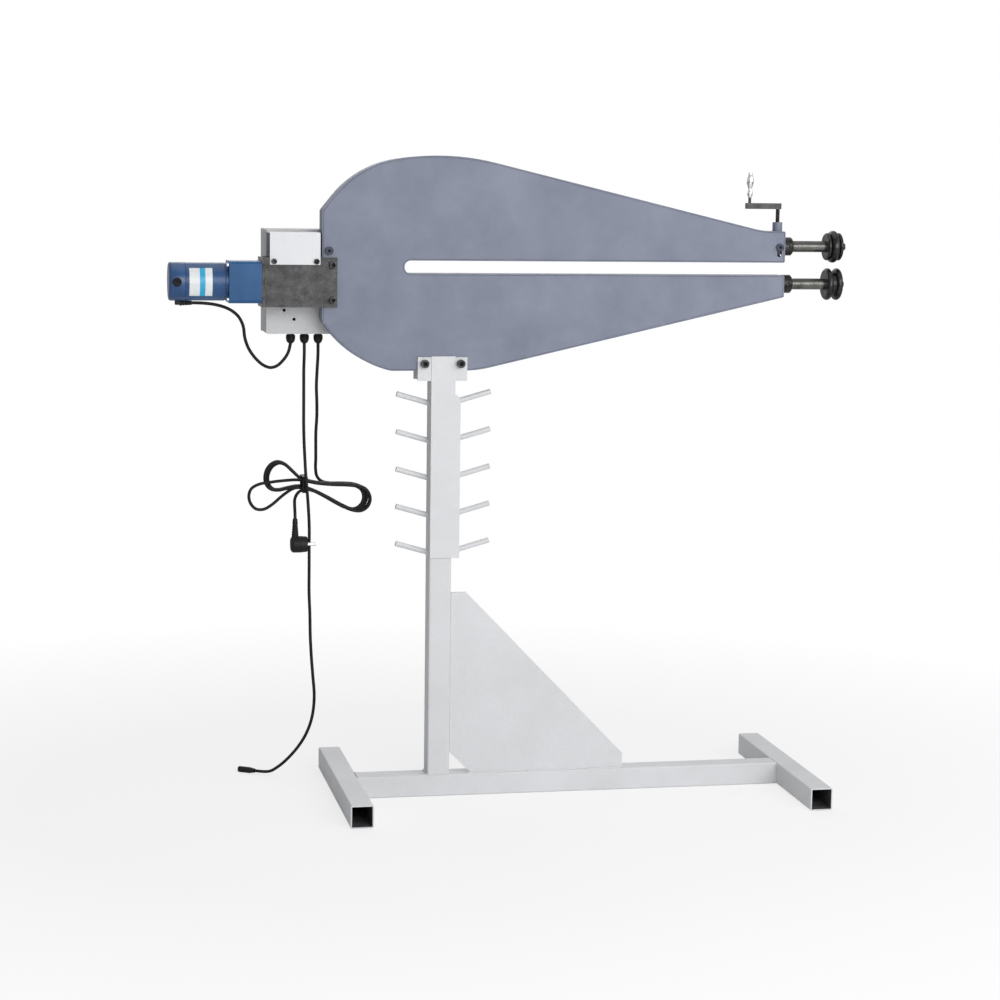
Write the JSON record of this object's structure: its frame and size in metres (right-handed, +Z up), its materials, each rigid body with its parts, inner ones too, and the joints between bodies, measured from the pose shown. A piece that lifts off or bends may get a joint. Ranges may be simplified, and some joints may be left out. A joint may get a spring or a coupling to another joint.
{
  "type": "deep throat bead roller",
  "caption": "Motor-driven bead rolling machine with a deep slotted plate frame, two profiled dies on parallel shafts, a pressure crank and a welded floor stand with a die rack.",
  "frame": {"origin": "on the floor, on the column's axis, under the middle of the cross beam's width", "axes": "+X along the throat towards the dies, +Y to the side that carries the control box, +Z up"},
  "size_m": [1.5185, 0.55, 1.422],
  "materials": {
    "light_grey_paint": "smooth powder coat",
    "grey_blue_paint": "smooth powder coat",
    "black_oxide_steel": "oiled black oxide",
    "hot_rolled_steel": "oiled mill scale",
    "bright_steel": "turned",
    "polished_steel": "polished",
    "bronze": "turned",
    "motor_blue": "gloss enamel",
    "white_paint": "satin powder coat",
    "box_grey_paint": "textured powder coat",
    "red_elastomer": "moulded",
    "black_plastic": "moulded",
    "black_sheath": "smooth sheath"
  },
  "bodies": {
    "frame": {"left_foot": "light_grey_paint", "right_foot": "light_grey_paint", "cross_beam": "light_grey_paint", "column": "light_grey_paint", "gusset_plate": "light_grey_paint", "rack_plate": "light_grey_paint", "die_pegs": "light_grey_paint", "saddle_plates": "light_grey_paint", "saddle_bolts": "black_oxide_steel", "front_side_plate": "grey_blue_paint", "rear_side_plate": "grey_blue_paint", "rim_strip": "grey_blue_paint", "screw_boss": "grey_blue_paint", "rear_bearing_block": "hot_rolled_steel", "nose_bearing_block": "hot_rolled_steel", "lower_bushes": "bronze", "pivot_bolt": "grey_blue_paint", "return_spring": "bright_steel", "spring_anchor": "bright_steel", "bracket_plates": "hot_rolled_steel", "motor_plate": "black_oxide_steel", "drive_screws": "black_oxide_steel", "coupling_guard": "white_paint", "gearbox": "motor_blue", "motor_body": "motor_blue", "motor_end_cover": "motor_blue", "enclosure_shell": "box_grey_paint", "motor_drive": "black_plastic", "cable_glands": "black_plastic", "motor_lead": "black_sheath", "pedal_lead": "black_sheath", "pedal_connector": "black_plastic", "mains_lead": "black_sheath", "mains_hank": "black_sheath", "hank_tie": "black_sheath", "mains_plug": "black_plastic"},
    "lower_line": {"lower_shaft": "black_oxide_steel", "lower_collar": "black_oxide_steel", "lower_die": "black_oxide_steel", "lower_die_screw": "black_oxide_steel", "output_shaft": "bright_steel", "coupling_hubs": "bright_steel", "coupling_spider": "red_elastomer"},
    "layshaft": {"layshaft": "bright_steel"},
    "rotor": {"motor_rotor": "hot_rolled_steel"},
    "carrier": {"upper_carrier": "hot_rolled_steel", "upper_bushes": "bronze", "guide_bolt": "black_oxide_steel"},
    "upper_line": {"upper_shaft": "black_oxide_steel", "upper_collar": "black_oxide_steel", "upper_die": "black_oxide_steel", "upper_die_screw": "black_oxide_steel"},
    "screw_foot": {"screw_foot": "bright_steel"},
    "crank": {"adjusting_screw": "black_oxide_steel", "crank_arm": "hot_rolled_steel"},
    "grip": {"crank_grip": "polished_steel"},
    "door": {"enclosure_door": "box_grey_paint"},
    "lock": {"door_lock": "bright_steel"},
    "dial": {"speed_dial": "black_plastic"},
    "switch": {"direction_switch": "black_plastic"}
  },
  "joints": [
    {"name": "lower_shaft_spin", "type": "hinge", "parent": "frame", "child": "lower_line", "pos_m": [0.4, 0, 1.147], "axis": [1, 0, 0], "continuous": true},
    {"name": "layshaft_spin", "type": "hinge", "parent": "frame", "child": "layshaft", "pos_m": [-0.43, 0, 1.169], "axis": [1, 0, 0], "continuous": true},
    {"name": "rotor_spin", "type": "hinge", "parent": "frame", "child": "rotor", "pos_m": [-0.52, 0, 1.147], "axis": [1, 0, 0], "continuous": true},
    {"name": "crank_turn", "type": "hinge", "parent": "screw_foot", "child": "crank", "pos_m": [0.765, 0, 1.3], "axis": [0, 0, -1], "range_deg": [0, 2520.2]},
    {"name": "screw_feed", "type": "slide", "parent": "frame", "child": "screw_foot", "axis": [0, 0, -1], "range_m": [0, 0.014]},
    {"name": "carrier_tilt", "type": "hinge", "parent": "frame", "child": "carrier", "pos_m": [-0.25, 0, 1.215], "axis": [0, 1, 0], "range_deg": [0, 0.7909], "deforming": ["return_spring"]},
    {"name": "upper_shaft_spin", "type": "hinge", "parent": "carrier", "child": "upper_line", "pos_m": [0.4, 0, 1.231], "axis": [1, 0, 0], "continuous": true},
    {"name": "grip_spin", "type": "hinge", "parent": "crank", "child": "grip", "pos_m": [0.699, 0, 1.36], "axis": [0, 0, 1], "continuous": true},
    {"name": "door_swing", "type": "hinge", "parent": "frame", "child": "door", "pos_m": [-0.1955, 0.1493, 1.1455], "axis": [0, 0, -1], "range_deg": [0, 110]},
    {"name": "lock_turn", "type": "hinge", "parent": "door", "child": "lock", "pos_m": [-0.356, 0.15, 1.1455], "axis": [0, -1, 0], "range_deg": [0, 90]},
    {"name": "dial_turn", "type": "hinge", "parent": "door", "child": "dial", "pos_m": [-0.29, 0.15, 1.1955], "axis": [0, -1, 0], "range_deg": [0, 300]},
    {"name": "switch_turn", "type": "hinge", "parent": "door", "child": "switch", "pos_m": [-0.29, 0.15, 1.1255], "axis": [0, 1, 0], "range_deg": [-45, 45]}
  ],
  "couplings": [
    {"joint": "layshaft_spin", "follows": "lower_shaft_spin", "ratio": -2.3846},
    {"joint": "rotor_spin", "follows": "lower_shaft_spin", "ratio": 5.6864},
    {"joint": "crank_turn", "follows": "screw_feed", "rad_per_m": 3141.6},
    {"joint": "carrier_tilt", "follows": "screw_feed", "rad_per_m": 0.98522}
  ]
}
